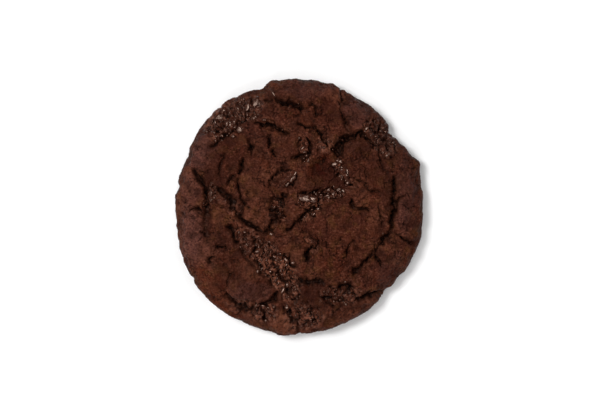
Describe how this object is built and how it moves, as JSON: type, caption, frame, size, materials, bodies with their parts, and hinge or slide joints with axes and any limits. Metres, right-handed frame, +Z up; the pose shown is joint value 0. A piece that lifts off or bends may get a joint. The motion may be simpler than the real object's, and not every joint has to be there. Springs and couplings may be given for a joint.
{
  "type": "double chocolate cookie",
  "caption": "Low round soft-baked chocolate cookie with a cracked, torn crust and a flat base, made to lie on a plate or tray and be eaten by hand.",
  "frame": {"origin": "on the flat base, under the middle of the cookie's bounding box", "axes": "+Z up out of the cracked top; +X to the right and +Y to the top of the picture, which looks straight down"},
  "size_m": [0.0858, 0.089, 0.0137],
  "materials": {
    "crust": "matt, dark brown baked cocoa dough with moist torn crumb in its cracks"
  },
  "bodies": {
    "root": {"cookie": "crust"}
  },
  "joints": []
}
